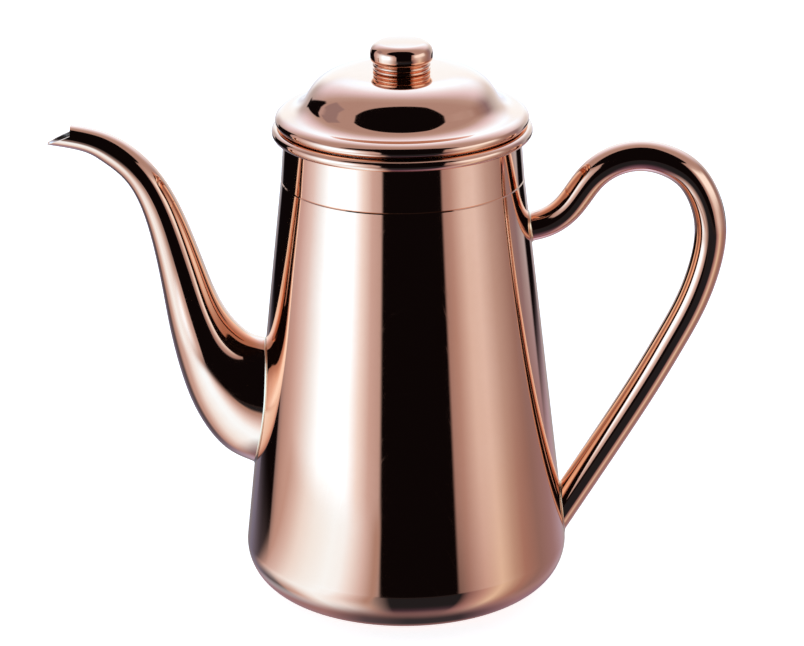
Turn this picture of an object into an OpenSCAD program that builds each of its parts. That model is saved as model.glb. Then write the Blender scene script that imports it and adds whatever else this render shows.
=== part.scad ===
// Gooseneck coffee pot: a tapered pot with a pressed base, a brazed neck and
// curled rim, a two-half gooseneck spout, a bent tube handle and a loose lid
// with a turned knob. Millimetres, +Z up. The origin is on the resting face,
// on the axis of the pot. The spout points along -X, the handle along +X.

/* [Pot] */
// Height of the crease where the neck meets the tapered wall
crease_z = 155.8; // [150:0.1:160]
// Outer radius of the wall at the crease
crease_r = 43.7; // [43:0.1:44.5]
// Growth of the outer radius for each millimetre down the wall
taper = 0.111; // [0.1:0.001:0.12]
// Radius of the rounded corner of the base
corner_r = 15.3; // [12:0.1:18]
// Thickness of the sheet in the pot
wall = 1.0; // [0.8:0.1:1.1]

/* [Rim] */
// Height of the middle of the curled rim
rim_z = 173.55; // [172:0.05:174]
// Outer radius of the curled rim
rim_r = 46.7; // [46.2:0.1:47.2]
// Radius of the curl
rim_curl = 2.0; // [1.6:0.1:2.1]

/* [Spout] */
// Thickness of the sheet in the spout
spout_wall = 0.8; // [0.6:0.1:1.0]
// Half width of the spout where it meets the pot
root_half_w = 14; // [12:0.5:15]

/* [Handle] */
// Radius of the handle tube at its upper end
handle_r_top = 5.3; // [5:0.1:5.6]
// Radius of the handle tube at its lower end
handle_r_low = 5.75; // [5.4:0.05:6]
// Wall thickness of the handle tube
handle_wall = 1.0; // [0.8:0.1:1.4]

/* [Lid] */
// Height of the top of the lid under the knob
lid_top = 195.32; // [195:0.01:196.5]
// Thickness of the sheet in the lid
lid_wall = 0.8; // [0.6:0.1:0.9]
// Outer radius of the ring that plugs into the neck
collar_r = 41.0; // [40.6:0.1:41.1]
// Depth that the ring reaches below the rim
collar_low = 166; // [163:0.5:169]

/* [Knob] */
// Largest radius of the knob
knob_r = 11.25; // [10.9:0.05:11.6]
// Radius of the knob screw
screw_r = 2.0; // [1.8:0.1:2.2]
// Clearance around the knob screw
screw_gap = 0.1; // [0.05:0.05:0.2]

/* [Hidden] */
// room for the dome of the sheet above the flat washer
washer_gap = 0.08;
copper = [0.80, 0.52, 0.42];
copper_in = [0.78, 0.76, 0.74];
silver = [0.86, 0.85, 0.83];
steel = [0.70, 0.70, 0.72];
// wall angle, and the middle of the corner arc
wa = atan(taper);
corner_x = crease_r + taper * (crease_z - corner_r) - corner_r / cos(wa);
seam_out = [corner_x + corner_r * cos(wa), corner_r + corner_r * sin(wa)];
seam_in = [corner_x + (corner_r - wall) * cos(wa), corner_r + (corner_r - wall) * sin(wa)];
// neck: a straight wall a little steeper than the cone
neck_t = 0.073;
function cone_r(z) = crease_r + taper * (crease_z - z);
function neck_r(z) = crease_r - neck_t * (z - crease_z);
function unit(v) = v / norm(v);
// A smooth curve with an even bend that passes through the points of the list
// p. soft(p) moves each point outwards by a sixth of its bend, four times over,
// and at() runs a cubic B-spline past the result at the running number u.
function soft(p, c, k = 4) = k == 0 ? c : soft(p, [for (i = [0 : len(p) - 1])
    i == 0 || i == len(p) - 1 ? p[i] : p[i] - (c[i - 1] - 2 * c[i] + c[i + 1]) / 6], k - 1);
function bs(a, b, c, d, t) = (a * pow(1 - t, 3) + b * (3 * t * t * t - 6 * t * t + 4) + c * (-3 * t * t * t + 3 * t * t + 3 * t + 1) + d * t * t * t) / 6;
function at(p, u) =
    let (n = len(p), i = min(floor(u), n - 2), t = u - i, b = p[i], c = p[i + 1],
         a = i > 0 ? p[i - 1] : 2 * b - c,
         d = i < n - 2 ? p[i + 2] : 2 * c - b)
    bs(a, b, c, d, t);

// ---- spout -------------------------------------------------------------
// Upper and lower outline of the spout in the XZ plane and the half width
// across it, from the pot to the tip. The last pair is beyond the cut.
top_pts = [[-50, 94], [-55.5, 95.5], [-60.5, 99.5], [-65, 105.5], [-69, 114], [-73, 125.5], [-77.5, 138.5],
           [-83, 151], [-90.5, 162], [-100.5, 170.5], [-112, 175], [-126, 177]];
low_pts = [[-55.5, 46], [-67, 52.5], [-76.5, 66.5], [-82, 82.5], [-85.5, 99], [-88, 116], [-91, 133],
           [-95, 147], [-100.5, 156.5], [-107.5, 162.5], [-114.5, 166.5], [-127, 169]];
wid_pts = [root_half_w, 14, 13.5, 12.5, 10.5, 8.5, 7.5, 6.5, 5.5, 5, 4.5, 3.5];
sp_top = soft(top_pts, top_pts);
sp_low = soft(low_pts, low_pts);
sp_wid = soft(wid_pts, wid_pts);
// where the top of the tip is cut away: straight down, then sloping to the lip
cut_x = -118.5;
cut_z = 173.0;
cut_slope = 0.43;
SP_N = 30;      // rings up to the last pair before the cut
SP_B = 5;       // rings in the tip
SP_S = 10;      // sides of each half
SP_U = len(top_pts) - 2;
function on_wall(y, z, out = 0) = [-sqrt(pow(cone_r(z) + out, 2) - y * y), y, z];
// a point of the spout skin: u running number, f angle from the top, w inset, s side
function sp_at(u, f, w, s) =
    let (t = at(sp_top, u), l = at(sp_low, u), b = at(sp_wid, u) - w,
         m = (t + l) / 2, h = (t - l) / 2, p = m + h * (norm(h) - w) / norm(h) * cos(f))
    [p[0], s * b * sin(f), p[1]];
function sp_root(f, w, s) =
    let (m = (top_pts[0] + low_pts[0]) / 2, h = (top_pts[0] - low_pts[0]) / 2, z = m[1] + (h[1] - w) * cos(f))
    on_wall(s * (root_half_w - w) * sin(f), z);
// how far the skin runs past the last pair before it meets the cut, by halving
function kept(p) = p[0] >= cut_x || p[2] <= cut_z + cut_slope * (p[0] - cut_x);
function cut_t(f, w, lo = 0, hi = 1, k = 16) =
    k == 0 ? lo : let (t = (lo + hi) / 2) kept(sp_at(SP_U + t, f, w, 1)) ? cut_t(f, w, t, hi, k - 1) : cut_t(f, w, lo, t, k - 1);
function sp_pt(k, f, w, s) = sp_at(k * SP_U / SP_N, f, w, s);
function beak_pt(j, f, w, s) = sp_at(SP_U + cut_t(f, w) * j / SP_B, f, w, s);
function sp_ring(k, w, s) = [for (i = [0 : SP_S]) let (f = 180 * i / SP_S)
    k == 0 ? sp_root(f, w, s) : (k <= SP_N ? sp_pt(k, f, w, s) : beak_pt(k - SP_N, f, w, s))];
// one half of the spout: outer skin, inner skin, and the edges that close them
module spout_half(s) {
    nk = SP_N + SP_B; ns = SP_S + 1; n1 = (nk + 1) * ns;
    out = [for (k = [0 : nk]) each sp_ring(k, 0, s)];
    inn = [for (k = [0 : nk]) each sp_ring(k, spout_wall, s)];
    function q(a, b, c, d) = s < 0 ? [[a, b, c], [a, c, d]] : [[a, c, b], [a, d, c]];
    faces = concat(
        [for (k = [0 : nk - 1], i = [0 : SP_S - 1]) each q(k * ns + i, k * ns + i + 1, (k + 1) * ns + i + 1, (k + 1) * ns + i)],
        [for (k = [0 : nk - 1], i = [0 : SP_S - 1]) each q(n1 + k * ns + i, n1 + (k + 1) * ns + i, n1 + (k + 1) * ns + i + 1, n1 + k * ns + i + 1)],
        [for (k = [0 : nk - 1]) each q(k * ns, (k + 1) * ns, n1 + (k + 1) * ns, n1 + k * ns)],
        [for (k = [0 : nk - 1]) each q(k * ns + SP_S, n1 + k * ns + SP_S, n1 + (k + 1) * ns + SP_S, (k + 1) * ns + SP_S)],
        [for (i = [0 : SP_S - 1]) each q(i, n1 + i, n1 + i + 1, i + 1)],
        [for (i = [0 : SP_S - 1]) each q(nk * ns + i, nk * ns + i + 1, n1 + nk * ns + i + 1, n1 + nk * ns + i)]);
    polyhedron(points = concat(out, inn), faces = faces, convexity = 8);
}

// ---- handle ------------------------------------------------------------
// middle of the handle tube in the XZ plane, from the upper joint to the lower
h_pts = [[45, 136], [52, 138], [58.5, 142.5], [63.5, 149], [69, 156], [77, 161], [86.5, 162.5], [96, 160],
         [104.5, 153.5], [110, 141.5], [110.5, 127], [105.5, 109], [97.5, 92.5], [87, 73.5], [72.5, 49.5], [58, 26]];
h_path = soft(h_pts, h_pts);
H_N = 60;
H_S = 16;
function h_mid(k) = at(h_path, k * (len(h_path) - 1) / H_N);
function h_dir(k) = unit(h_mid(min(H_N, k + 0.3)) - h_mid(max(0, k - 0.3)));
function h_rad(k) = handle_r_top + (handle_r_low - handle_r_top) * min(1, k / (0.6 * H_N));
// travel from p along d to the tapered wall grown by out
function to_wall(p, d, out) =
    let (r = cone_r(p[2]) + out, a = d[0] * d[0] + d[1] * d[1] - taper * taper * d[2] * d[2],
         b = 2 * (p[0] * d[0] + p[1] * d[1]) + 2 * r * taper * d[2], c = p[0] * p[0] + p[1] * p[1] - r * r,
         s = sqrt(b * b - 4 * a * c), t1 = (-b - s) / (2 * a), t2 = (-b + s) / (2 * a))
    abs(t1) < abs(t2) ? t1 : t2;
function h_pt(k, f, r) = let (m = h_mid(k), d = h_dir(k)) [m[0] + r * cos(f) * d[1], r * sin(f), m[1] - r * cos(f) * d[0]];
// a point on the tube's end, run along the tube to the wall
function h_end(k, f, r, out) = let (p = h_pt(k, f, r), d = [h_dir(k)[0], 0, h_dir(k)[1]]) p + d * to_wall(p, d, out);
// the rings next to the ends keep clear of the wall
function h_ring(k, w) = [for (i = [0 : H_S - 1]) let (f = 360 * i / H_S, r = h_rad(k) - w)
    (k == 0 || k == H_N) ? h_end(k == 0 ? 1.2 : H_N - 1.4, f, r, 0.05) : h_pt(max(1.2, min(H_N - 1.4, k)), f, r)];

// a closed tube between nested rings, a[k] outside and b[k] inside, n sides
module shell(a, b, n) {
    m = len(a);
    pts = concat([for (k = [0 : m - 1]) each a[k]], [for (k = [0 : m - 1]) each b[k]]);
    function o(k, i) = k * n + i % n;
    function v(k, i) = (m + k) * n + i % n;
    faces = concat(
        [for (k = [0 : m - 2], i = [0 : n - 1]) each [[o(k, i), o(k + 1, i), o(k + 1, i + 1)], [o(k, i), o(k + 1, i + 1), o(k, i + 1)]]],
        [for (k = [0 : m - 2], i = [0 : n - 1]) each [[v(k, i), v(k + 1, i + 1), v(k + 1, i)], [v(k, i), v(k, i + 1), v(k + 1, i + 1)]]],
        [for (i = [0 : n - 1]) each [[o(0, i), o(0, i + 1), v(0, i + 1)], [o(0, i), v(0, i + 1), v(0, i)]]],
        [for (i = [0 : n - 1]) each [[o(m - 1, i), v(m - 1, i), v(m - 1, i + 1)], [o(m - 1, i), v(m - 1, i + 1), o(m - 1, i + 1)]]]);
    polyhedron(points = pts, faces = faces, convexity = 8);
}

// ---- lid section -------------------------------------------------------
// a chain of arcs: [radius, slope at start, slope at end, bend], bend 1 is
// domed, -1 is hollow, 0 is a straight run of that length
lid_arcs = [[500, 0, 2, 1], [33.5, 2, 13.2, 1], [15, 13.2, 60, 1], [2.15, 60, 60, 0], [8.7, 60, 8, -1],
            [1.05, 8, 8, 0], [5, 8, 45, 1], [2.1, 45, 100, 1], [2.1, 100, 300, 1]];
lid_seg = [3, 4, 7, 1, 7, 1, 4, 4, 12];
// the move along one arc, for the skin inset by w
function arc_mv(a, w, s0, s1) =
    a[3] == 0 ? a[0] * [cos(a[1]), -sin(a[1])]
              : let (r = a[0] - a[3] * w) a[3] * r * [sin(s1) - sin(s0), cos(s1) - cos(s0)];
function lid_start(k, w) = k == 0 ? [0, lid_top - w] : lid_start(k - 1, w) + arc_mv(lid_arcs[k - 1], w, lid_arcs[k - 1][1], lid_arcs[k - 1][2]);
function lid_line(w) = [for (k = [0 : len(lid_arcs) - 1]) each
    let (a = lid_arcs[k], n = lid_seg[k], p = lid_start(k, w))
    [for (j = [0 : n - 1]) a[3] == 0 ? p + arc_mv(a, w, 0, 0) * j / n : p + arc_mv(a, w, a[1], a[1] + (a[2] - a[1]) * j / n)]];
function rev(l) = [for (i = [len(l) - 1 : -1 : 0]) l[i]];

// ---- pot pieces --------------------------------------------------------
module base_pan() {
    color(copper) rotate_extrude($fn = 96) {
        square([corner_x + 0.001, wall]);
        intersection() {
            translate([corner_x, corner_r]) difference() { circle(corner_r, $fn = 96); circle(corner_r - wall, $fn = 96); }
            polygon([[corner_x, corner_r], [corner_x, -5], [corner_x + 60, -5], [corner_x + 60, corner_r + 60 * taper]]);
        }
    }
}

module body_cone() {
    color(copper) difference() {
        rotate_extrude($fn = 96) polygon([seam_in, seam_out,
            [cone_r(crease_z - 0.35), crease_z - 0.35], [crease_r - 0.25, crease_z],
            [crease_r - wall, crease_z], [cone_r(crease_z - 2) - wall, crease_z - 2]]);
        // the opening into the spout
        translate([0, 0, 70.05]) rotate([0, -90, 0]) linear_extrude(80)
            polygon([for (i = [0 : 31]) [21.6 * cos(i * 11.25), 12.2 * sin(i * 11.25)]]);
    }
}

module neck_ring() {
    x1 = rim_r - rim_curl;
    x0 = neck_r(rim_z) - wall + rim_curl;
    color(copper) rotate_extrude($fn = 96) {
        polygon([[crease_r - wall, crease_z], [crease_r - 0.25, crease_z], [neck_r(crease_z + 0.35), crease_z + 0.35],
                 [neck_r(rim_z), rim_z], [neck_r(rim_z) - wall, rim_z]]);
        difference() {
            union() {
                translate([x1, rim_z]) circle(rim_curl, $fn = 48);
                translate([x0, rim_z]) circle(rim_curl, $fn = 48);
                translate([x0, rim_z - rim_curl]) square([x1 - x0, 2 * rim_curl]);
            }
            translate([x1, rim_z]) circle(rim_curl - 0.9, $fn = 48);
            translate([x0, rim_z]) circle(rim_curl - 0.9, $fn = 48);
            translate([x0, rim_z - rim_curl + 0.9]) square([x1 - x0, 2 * rim_curl - 1.8]);
        }
    }
}

module spout_left_half() { color(copper) spout_half(-1); }
module spout_right_half() { color(copper) spout_half(1); }

// a small three-sided fillet of solder round the root of the spout
module spout_solder() {
    n = 40;
    m = (top_pts[0] + low_pts[0]) / 2; h = (top_pts[0] - low_pts[0]) / 2;
    function edge(f, g, out) = let (z = m[1] + (h[1] + g) * cos(f)) on_wall((root_half_w + g) * sin(f), z, out);
    a = [for (i = [0 : n - 1]) edge(360 * i / n, 1.3, 0.12)];
    b = [for (i = [0 : n - 1]) edge(360 * i / n, 0.25, 0.12)];
    c = [for (i = [0 : n - 1]) edge(360 * i / n, 0.35, 1.2)];
    color(silver) loop3(a, b, c, n);
}

// a ring with a three-sided section through the corner rings a, b and c
module loop3(a, b, c, n) {
    pts = concat(a, b, c);
    function g(r, i) = r * n + i % n;
    faces = [for (i = [0 : n - 1], r = [0 : 2]) each let (q = (r + 1) % 3)
        [[g(r, i), g(q, i), g(q, i + 1)], [g(r, i), g(q, i + 1), g(r, i + 1)]]];
    polyhedron(points = pts, faces = faces, convexity = 6);
}

module handle_tube() {
    color(copper) shell([for (k = [0 : H_N]) h_ring(k, 0)], [for (k = [0 : H_N]) h_ring(k, handle_wall)], H_S);
}

// the fillet of solder round one end of the handle: k where the tube is straight
module handle_solder(k, r, flip) {
    n = 32;
    a = [for (i = [0 : n - 1]) h_end(k, 360 * i / n, r + 1.1, 0.1)];
    b = [for (i = [0 : n - 1]) h_end(k, 360 * i / n, r + 0.12, 0.1)];
    c = [for (i = [0 : n - 1]) h_end(k, 360 * i / n, r + 0.2, 1.1)];
    color(silver) if (flip) loop3(a, c, b, n); else loop3(a, b, c, n);
}
module handle_upper_solder() { handle_solder(1.2, h_rad(0), false); }
module handle_lower_solder() { handle_solder(H_N - 1.4, h_rad(H_N), true); }

// ---- lid pieces --------------------------------------------------------
module lid_shell() {
    color(copper) difference() {
        rotate_extrude($fn = 96) polygon(concat(lid_line(0), rev(lid_line(lid_wall))));
        translate([0, 0, 190]) cylinder(r = screw_r + screw_gap, h = 10, $fn = 32);
    }
}

// the ring that plugs into the neck, brazed under the brim
module lid_collar() {
    top = lid_start(5, lid_wall)[1] + (lid_start(5, lid_wall)[0] - collar_r) * tan(8) - 0.02;
    color(copper_in) rotate_extrude($fn = 96) polygon([[collar_r - 0.8, collar_low], [collar_r - 0.3, collar_low], [collar_r, collar_low + 0.5],
        [collar_r, top], [collar_r - 0.8, top]]);
}

module knob() {
    b = lid_top;
    s = 3.9;
    color(copper) difference() {
        rotate_extrude($fn = 96) polygon(concat(
            [[0, b], [9.9, b], [10.15, b + 0.25], [10.3, b + 0.65], [10.15, b + 1.05], [9.75, b + 1.2], [9.5, b + 1.28], [9.75, b + 1.4],
             [10.15, b + 1.75], [10.3, b + 2.2], [10.15, b + 2.65], [9.8, b + 2.95], [9.6, b + 3.1], [10.0, b + 3.25], [10.45, b + 3.5],
             [10.85, b + 3.9], [11.1, b + 4.4], [knob_r - 0.03, b + 5.3]],
            [for (i = [0 : 8]) [knob_r - s + s * cos(i * 10.5), b + 6.5 + s * sin(i * 10.5)]],
            [[4.5, b + 10.58], [0, b + 10.68]]));
        translate([0, 0, b - 1]) cylinder(r = screw_r + screw_gap, h = 8, $fn = 32);
    }
}

module knob_screw() {
    b = lid_top - lid_wall - washer_gap - 0.8;
    color(steel) difference() {
        union() {
            translate([0, 0, b - 0.01]) cylinder(r = screw_r, h = 8, $fn = 32);
            translate([0, 0, b - 2.4]) cylinder(r = 3.8, h = 2.4, $fn = 48);
        }
        for (a = [0, 90]) rotate([0, 0, a]) translate([-2.2, -0.45, b - 2.5]) cube([4.4, 0.9, 1.4]);
    }
}

module knob_washer() {
    color(steel) translate([0, 0, lid_top - lid_wall - washer_gap - 0.8]) difference() {
        cylinder(r = 5.5, h = 0.8, $fn = 48);
        translate([0, 0, -1]) cylinder(r = screw_r + screw_gap, h = 3, $fn = 32);
    }
}

base_pan();
body_cone();
neck_ring();
spout_left_half();
spout_right_half();
spout_solder();
handle_tube();
handle_upper_solder();
handle_lower_solder();
lid_shell();
lid_collar();
knob();
knob_screw();
knob_washer();
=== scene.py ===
import math
import bpy
import numpy as np
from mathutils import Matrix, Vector


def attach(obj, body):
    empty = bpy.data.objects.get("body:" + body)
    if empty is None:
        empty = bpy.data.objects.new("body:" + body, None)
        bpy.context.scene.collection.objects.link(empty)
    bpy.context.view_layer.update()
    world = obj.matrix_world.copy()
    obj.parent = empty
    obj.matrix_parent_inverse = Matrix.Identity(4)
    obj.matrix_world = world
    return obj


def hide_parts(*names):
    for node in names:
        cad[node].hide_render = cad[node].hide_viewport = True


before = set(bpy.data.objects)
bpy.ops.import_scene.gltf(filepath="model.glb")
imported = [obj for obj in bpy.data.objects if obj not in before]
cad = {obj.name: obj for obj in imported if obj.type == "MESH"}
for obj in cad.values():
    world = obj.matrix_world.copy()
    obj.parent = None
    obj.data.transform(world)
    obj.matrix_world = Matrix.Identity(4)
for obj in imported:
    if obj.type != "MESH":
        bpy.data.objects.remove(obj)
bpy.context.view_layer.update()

MM = 0.001
TAU = 2 * math.pi


# ------------------------------------------------------------------ meshes
class Mesh:
    """Quads with a known normal at every corner, so that mirror surfaces stay smooth."""

    def __init__(self):
        self.corners, self.normals, self.mats = [], [], []

    def patch(self, P, N, mat=0, close_u=False, close_v=False, skip=None):
        """P[u][v] points in millimetres and N[u][v] normals. Faces turn to agree with the normals."""
        P, N = np.asarray(P, float), np.asarray(N, float)
        N = N / np.maximum(np.linalg.norm(N, axis=2, keepdims=True), 1e-12)
        nu, nv = P.shape[:2]
        i, j = np.meshgrid(np.arange(nu if close_u else nu - 1), np.arange(nv if close_v else nv - 1), indexing="ij")
        i, j = i.ravel(), j.ravel()
        if skip:
            keep = ~skip(i, j)
            i, j = i[keep], j[keep]
        i1, j1 = (i + 1) % nu, (j + 1) % nv
        q = np.stack([P[i, j], P[i1, j], P[i1, j1], P[i, j1]], 1)
        n = np.stack([N[i, j], N[i1, j], N[i1, j1], N[i, j1]], 1)
        turned = (np.cross(q[:, 2] - q[:, 0], q[:, 3] - q[:, 1]) * n.sum(1)).sum(1) < 0
        q[turned], n[turned] = q[turned][:, ::-1], n[turned][:, ::-1]
        self.corners.append(q)
        self.normals.append(n)
        self.mats.append(np.full(len(q), mat))

    def build(self, name, mats):
        q, n, m = np.concatenate(self.corners), np.concatenate(self.normals), np.concatenate(self.mats)
        verts, ids = np.unique(np.round(q.reshape(-1, 3), 5), axis=0, return_inverse=True)
        ids = ids.reshape(-1, 4)
        faces, nor, mi = [], [], []
        for f, nf, k in zip(ids.tolist(), n.tolist(), m.tolist()):
            if len(set(f)) < 4:
                pick = [a for a in range(4) if f[a] not in f[:a]]
                if len(pick) < 3:
                    continue
                f, nf = [f[a] for a in pick], [nf[a] for a in pick]
            faces.append(f)
            nor.extend(nf)
            mi.append(k)
        me = bpy.data.meshes.new(name)
        me.from_pydata((verts * MM).tolist(), [], faces)
        me.polygons.foreach_set("use_smooth", [True] * len(faces))
        me.polygons.foreach_set("material_index", mi)
        for k in mats:
            me.materials.append(k)
        me.update()
        me.normals_split_custom_set(nor)
        ob = bpy.data.objects.new(name, me)
        bpy.context.scene.collection.objects.link(ob)
        return ob


def arc(cx, cz, r, a0, a1, n, inside=False):
    """Points and normals of an arc in the RZ half plane, angles in degrees from +R."""
    a = np.radians(np.linspace(a0, a1, n + 1))
    d = np.stack([np.cos(a), np.sin(a)], 1)
    return np.array([cx, cz]) + r * d, (-d if inside else d)


def line(p, q, n=1, flip=False):
    """A straight run from p to q; its normal is to the right of the run, or the left if flip."""
    p, q = np.array(p, float), np.array(q, float)
    t = np.linspace(0, 1, n + 1)[:, None]
    d = (q - p) / np.linalg.norm(q - p)
    nn = np.array([d[1], -d[0]]) * (-1 if flip else 1)
    return p + t * (q - p), np.repeat(nn[None], n + 1, 0)


def turn(mesh, segs, n=192, mat=0, th=None):
    """Adds each profile segment, turned about Z."""
    a = np.linspace(0, TAU, n, endpoint=False) if th is None else th
    c, s = np.cos(a), np.sin(a)
    for seg in segs:
        pts, nor = seg[0], seg[1]
        m = seg[2] if len(seg) > 2 else mat
        P = np.stack([pts[:, :1] * c, pts[:, :1] * s, np.repeat(pts[:, 1:], len(a), 1)], 2)
        N = np.stack([nor[:, :1] * c, nor[:, :1] * s, np.repeat(nor[:, 1:], len(a), 1)], 2)
        mesh.patch(P, N, m, close_v=th is None)


def fd_normals(P, close_v=True):
    """Normals of a grid of points by central differences."""
    du = np.gradient(P, axis=0)
    if close_v:
        dv = np.roll(P, -1, 1) - np.roll(P, 1, 1)
    else:
        dv = np.gradient(P, axis=1)
    n = np.cross(du, dv)
    return n / np.maximum(np.linalg.norm(n, axis=2, keepdims=True), 1e-12)


def soften(p, n=4):
    """Moves each point outwards by a sixth of its bend, so that the B-spline passes through it."""
    p = np.array(p, float)
    if p.ndim == 1:
        p = p[:, None]
    c = p.copy()
    for _ in range(n):
        d = np.zeros_like(c)
        d[1:-1] = c[:-2] - 2 * c[1:-1] + c[2:]
        c = p - d / 6
    return c


def at(c, u):
    """The cubic B-spline through soften(points), at the running numbers u."""
    u = np.asarray(u, float)
    q = np.vstack([2 * c[0] - c[1], c, 2 * c[-1] - c[-2]])
    i = np.minimum(np.floor(u).astype(int), len(c) - 2)
    t = (u - i)[..., None]
    a, b, d, e = q[i], q[i + 1], q[i + 2], q[i + 3]
    return (a * (1 - t) ** 3 + b * (3 * t**3 - 6 * t * t + 4) + d * (-3 * t**3 + 3 * t * t + 3 * t + 1) + e * t**3) / 6


# ------------------------------------------------------------------ the same sizes as part.scad, millimetres
CREASE_Z, CREASE_R, TAPER, CORNER, WALL = 155.8, 43.7, 0.111, 15.3, 1.0
RIM_Z, RIM_R, CURL = 173.55, 46.7, 2.0
SPOUT_WALL, ROOT_W = 0.8, 14.0
HANDLE_TOP, HANDLE_LOW, HANDLE_WALL = 5.3, 5.75, 1.0
LID_TOP, LID_WALL, COLLAR_R, COLLAR_LOW = 195.32, 0.8, 41.0, 166.0
WA = math.atan(TAPER)
CORNER_X = CREASE_R + TAPER * (CREASE_Z - CORNER) - CORNER / math.cos(WA)


def cone_r(z):
    return CREASE_R + TAPER * (CREASE_Z - z)


def neck_r(z):
    return CREASE_R - 0.073 * (z - CREASE_Z)


def on_wall(y, z, out=0.0):
    return np.stack([-np.sqrt((cone_r(z) + out) ** 2 - y * y), y, z], -1)


# ------------------------------------------------------------------ materials
class Tree:
    """Short names for the shader nodes of one material."""

    def __init__(self, name):
        self.mat = bpy.data.materials.new(name)
        self.mat.use_nodes = True
        self.t = self.mat.node_tree
        self.t.nodes.clear()

    def node(self, kind, **props):
        n = self.t.nodes.new(kind)
        for k, v in props.items():
            setattr(n, k, v)
        return n

    def put(self, socket, value):
        if hasattr(value, "is_output") or isinstance(value, bpy.types.NodeSocket):
            self.t.links.new(value, socket)
        else:
            socket.default_value = value

    def math(self, op, a, b=0.0, c=None, clamp=False):
        n = self.node("ShaderNodeMath", operation=op, use_clamp=clamp)
        self.put(n.inputs[0], a)
        self.put(n.inputs[1], b)
        if c is not None:
            self.put(n.inputs[2], c)
        return n.outputs[0]

    def span(self, v, a, b, c=0.0, d=1.0, kind="SMOOTHSTEP"):
        n = self.node("ShaderNodeMapRange", interpolation_type=kind)
        self.put(n.inputs[0], v)
        for k, x in zip((1, 2, 3, 4), (a, b, c, d)):
            self.put(n.inputs[k], x)
        return n.outputs[0]

    def mix(self, f, a, b, blend="MIX"):
        n = self.node("ShaderNodeMix", data_type="RGBA", blend_type=blend)
        self.put(n.inputs[0], f)
        self.put(n.inputs[6], a if not isinstance(a, tuple) else (*a, 1))
        self.put(n.inputs[7], b if not isinstance(b, tuple) else (*b, 1))
        return n.outputs[2]

    def times(self, colour, f):
        n = self.node("ShaderNodeVectorMath", operation="SCALE")
        self.put(n.inputs[0], colour)
        self.put(n.inputs["Scale"], f)
        return n.outputs[0]

    def noise(self, vec, scale, detail=2.0, rough=0.5, out=0):
        n = self.node("ShaderNodeTexNoise")
        self.put(n.inputs["Vector"], vec)
        n.inputs["Scale"].default_value = scale
        n.inputs["Detail"].default_value = detail
        n.inputs["Roughness"].default_value = rough
        return n.outputs[out]

    def mapped(self, vec, scale=(1, 1, 1), rot=(0, 0, 0), loc=(0, 0, 0)):
        n = self.node("ShaderNodeMapping")
        self.put(n.inputs["Vector"], vec)
        n.inputs["Scale"].default_value = scale
        n.inputs["Rotation"].default_value = rot
        n.inputs["Location"].default_value = loc
        return n.outputs[0]

    def ramp(self, v, stops, interp="LINEAR"):
        n = self.node("ShaderNodeValToRGB")
        n.color_ramp.interpolation = interp
        el = n.color_ramp.elements
        while len(el) < len(stops):
            el.new(0.5)
        for e, (p, c) in zip(el, stops):
            e.position = p
            e.color = (*c, 1) if isinstance(c, tuple) else (c, c, c, 1)
        self.put(n.inputs[0], v)
        return n.outputs[0]

    def scratches(self, vec, seed, length=30.0, fine=2600.0, thin=0.66):
        """Broken hairlines that run in one direction."""
        rot = (0.4 * seed, 0.7 * seed, 1.3 * seed)
        a = self.noise(self.mapped(vec, (length, fine, length * 1.3), rot, (seed, 2.0 * seed, 0.5)), 1.0, 1.0)
        m = self.noise(self.mapped(vec, (1, 1, 1), (0, 0, 0), (0.3 * seed, 0, 0)), 45.0, 2.0)
        line_ = self.span(a, thin, thin + 0.05)
        return self.math("MULTIPLY", line_, self.span(m, 0.5, 0.62))

    def bump(self, height, distance, normal=None):
        n = self.node("ShaderNodeBump")
        n.inputs["Strength"].default_value = 1.0
        n.inputs["Distance"].default_value = distance
        self.put(n.inputs["Height"], height)
        if normal is not None:
            self.put(n.inputs["Normal"], normal)
        return n.outputs[0]


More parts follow.
